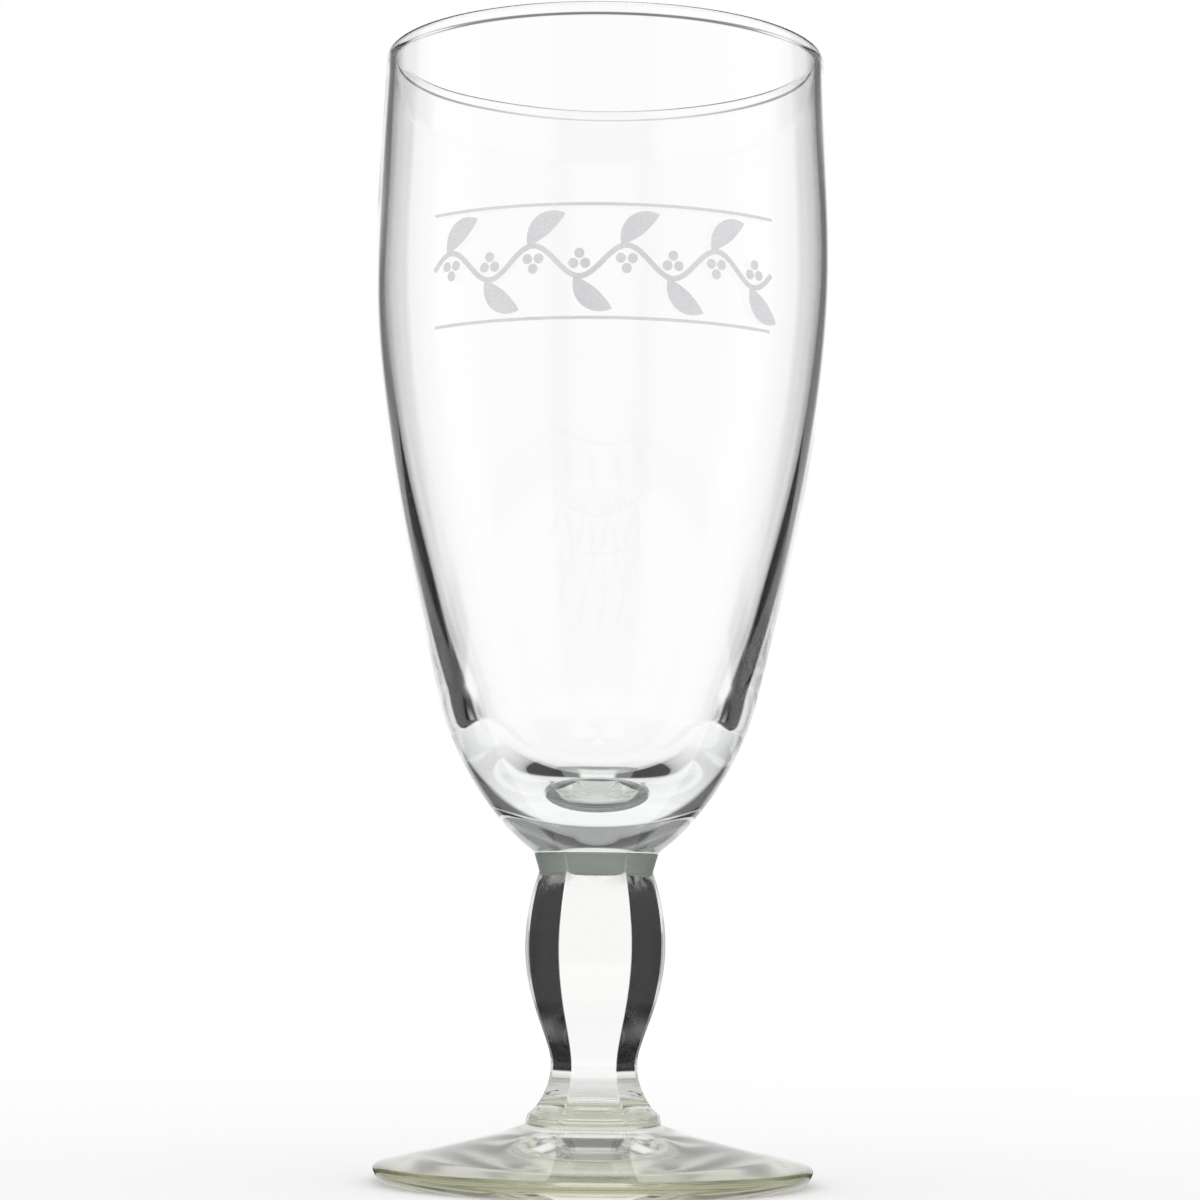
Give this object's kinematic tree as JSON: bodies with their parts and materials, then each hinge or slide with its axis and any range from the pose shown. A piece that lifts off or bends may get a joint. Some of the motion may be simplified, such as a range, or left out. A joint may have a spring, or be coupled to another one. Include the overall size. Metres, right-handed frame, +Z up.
{
  "type": "footed beer glass",
  "caption": "Tall footed drinking glass: a thin-walled open bowl with a thick base on a faceted baluster stem with a round collar and a wide round foot.",
  "frame": {"origin": "centre of the foot's underside, on the plane the glass stands on", "axes": "+Z up along the glass's axis, towards the rim; -Y out of the stem facet and the print that face the front; +X to the right seen from the front"},
  "size_m": [0.0716, 0.0716, 0.1762],
  "materials": {
    "bowl_glass": "clear blown glass, fire-polished",
    "stem_glass": "clear pressed glass with a faint green tint, slightly wavy facets",
    "foot_glass": "clear pressed glass with a faint olive tint at its edge",
    "print_enamel": "pale grey fired enamel, semi-matte"
  },
  "bodies": {
    "root": {"bowl": "bowl_glass", "stem": "stem_glass", "foot": "foot_glass"}
  },
  "joints": []
}
